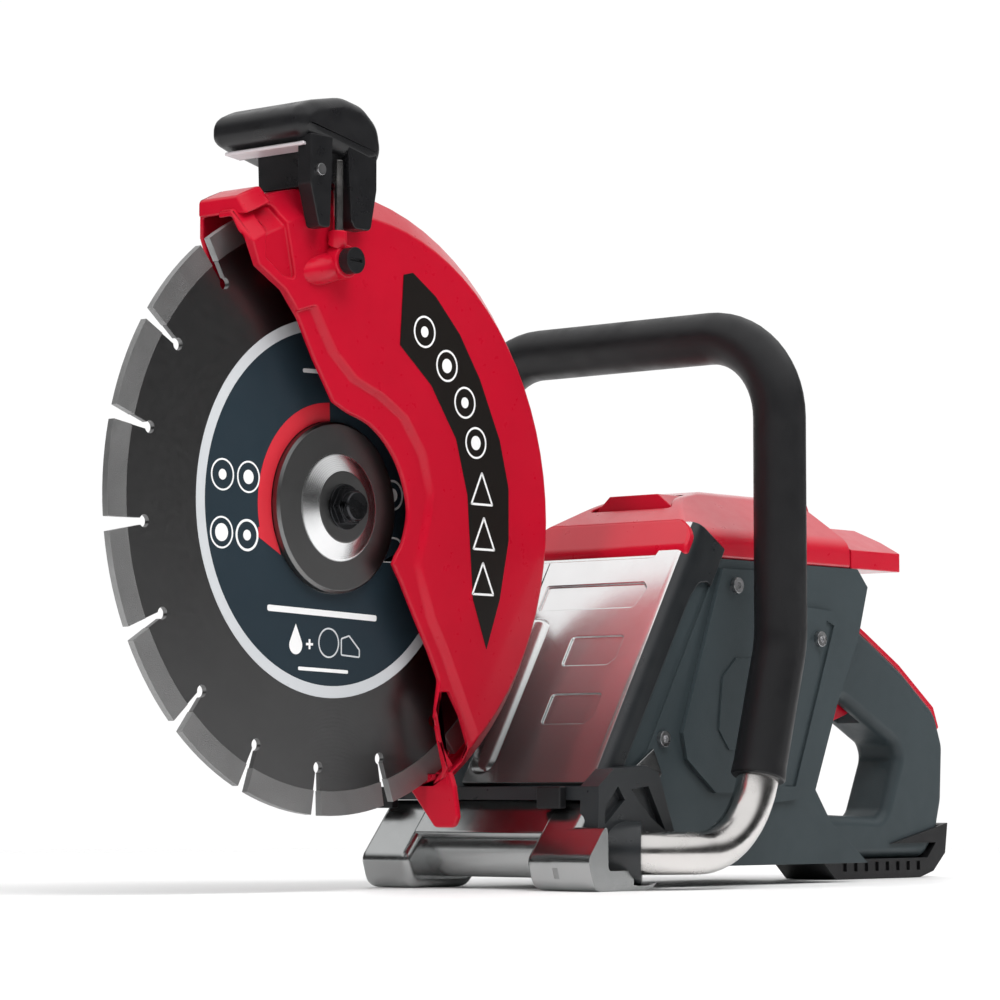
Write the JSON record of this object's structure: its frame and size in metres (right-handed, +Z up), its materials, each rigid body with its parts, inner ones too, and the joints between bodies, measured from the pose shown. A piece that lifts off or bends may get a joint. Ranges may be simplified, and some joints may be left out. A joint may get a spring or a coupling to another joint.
{
  "type": "rescue saw",
  "caption": "Battery powered cut-off rescue saw with a segmented diamond blade, a swinging guard, a bail front handle, a loop rear handle and a slide-out battery.",
  "frame": {"origin": "centre of the bounding box on the floor", "axes": "+X forward to the blade, +Y to the operator's left (the side of the open blade face), +Z up"},
  "size_m": [0.7454, 0.273, 0.449],
  "materials": {
    "slate_plastic": "satin moulded",
    "red_plastic": "gloss",
    "red_casting": "gloss enamel",
    "bright_metal": "polished",
    "cast_metal": "satin cast",
    "tube_metal": "polished",
    "screw_steel": "zinc plated",
    "grip_rubber": "matte",
    "black_plastic": "satin",
    "machined_steel": "turned",
    "blackened_steel": "blackened",
    "belt_rubber": "matte",
    "winding": "enamelled wire",
    "board": "coated",
    "contact_brass": "bright",
    "blade_steel": "ground",
    "segment_metal": "sintered",
    "black_label": "printed film",
    "grey_insert": "satin",
    "cell_wrap": "shrink wrap"
  },
  "bodies": {
    "machine": {"left_housing": "slate_plastic", "right_housing": "slate_plastic", "side_cover": "slate_plastic", "chassis_plate": "slate_plastic", "handle_clamp": "slate_plastic", "rear_handle_left": "slate_plastic", "rear_handle_right": "slate_plastic", "belt_cover": "slate_plastic", "top_cover": "red_plastic", "rear_handle_trim": "red_plastic", "front_shield": "bright_metal", "frame_plate": "cast_metal", "front_skid": "cast_metal", "drive_arm": "cast_metal", "motor_end_plate": "cast_metal", "front_handle_tube": "tube_metal", "side_cover_screws": "screw_steel", "handle_clamp_screws": "screw_steel", "arm_screws": "screw_steel", "belt_cover_screws": "screw_steel", "front_handle_grip": "grip_rubber", "rear_foot": "grip_rubber", "skid_pads": "grip_rubber", "trigger_switch": "black_plastic", "spindle_bearings": "machined_steel", "motor_bearings": "machined_steel", "trigger_pin": "machined_steel", "lock_off_pin": "machined_steel", "trigger_spring": "machined_steel", "drive_belt": "belt_rubber", "motor_stator": "winding", "controller_board": "board", "battery_terminals": "contact_brass"},
    "blade": {"blade_core": "blade_steel", "blade_segments": "segment_metal", "outer_flange": "machined_steel", "inner_flange": "machined_steel", "spindle": "machined_steel", "flange_bolt": "blackened_steel", "driven_pulley": "machined_steel"},
    "motor": {"motor_shaft": "machined_steel", "motor_rotor": "machined_steel", "cooling_fan": "black_plastic", "drive_pulley": "machined_steel"},
    "guard": {"guard_shell": "red_casting", "guard_clamp_ring": "machined_steel", "guard_label": "black_label", "guard_handle": "black_plastic", "guard_handle_insert": "grey_insert", "guard_handle_screws": "screw_steel", "water_tube": "tube_metal"},
    "water_valve": {"water_valve_knob": "black_plastic"},
    "trigger": {"trigger": "red_plastic"},
    "lock_off": {"lock_off_lever": "red_plastic"},
    "battery": {"battery_case": "red_plastic", "battery_cells": "cell_wrap", "latch_spring": "machined_steel"},
    "battery_latch": {"battery_latch": "red_plastic"}
  },
  "joints": [
    {"name": "blade_spin", "type": "hinge", "parent": "machine", "child": "blade", "pos_m": [0.1977, 0, 0.218], "axis": [0, 1, 0], "continuous": true},
    {"name": "motor_spin", "type": "hinge", "parent": "machine", "child": "motor", "pos_m": [-0.0343, 0, 0.118], "axis": [0, 1, 0], "continuous": true},
    {"name": "guard_adjust", "type": "hinge", "parent": "machine", "child": "guard", "pos_m": [0.1977, -0.022, 0.218], "axis": [0, 1, 0], "range_deg": [-40, 10]},
    {"name": "valve_turn", "type": "hinge", "parent": "guard", "child": "water_valve", "pos_m": [0.2157, 0.03, 0.355], "axis": [0, 1, 0], "range_deg": [0, 90]},
    {"name": "trigger_pull", "type": "hinge", "parent": "machine", "child": "trigger", "pos_m": [-0.2383, 0.015, 0.132], "axis": [0, 1, 0], "range_deg": [0, 10], "stiffness_Nm_per_rad": 0.8, "springref_deg": -17.19, "deforming": ["trigger_spring"]},
    {"name": "lock_off_press", "type": "hinge", "parent": "machine", "child": "lock_off", "pos_m": [-0.2803, 0.015, 0.15], "axis": [0, 1, 0], "range_deg": [0, 6], "stiffness_Nm_per_rad": 0.5, "springref_deg": -14.32},
    {"name": "battery_slide", "type": "slide", "parent": "machine", "child": "battery", "axis": [-1, 0, 0], "range_m": [0, 0.2]},
    {"name": "latch_press", "type": "slide", "parent": "battery", "child": "battery_latch", "axis": [0, 0, 1], "range_m": [-0.003, 0], "stiffness_N_per_m": 800, "springref_m": 0.003, "deforming": ["latch_spring"]}
  ],
  "couplings": [
    {"joint": "motor_spin", "follows": "blade_spin", "ratio": 2}
  ]
}
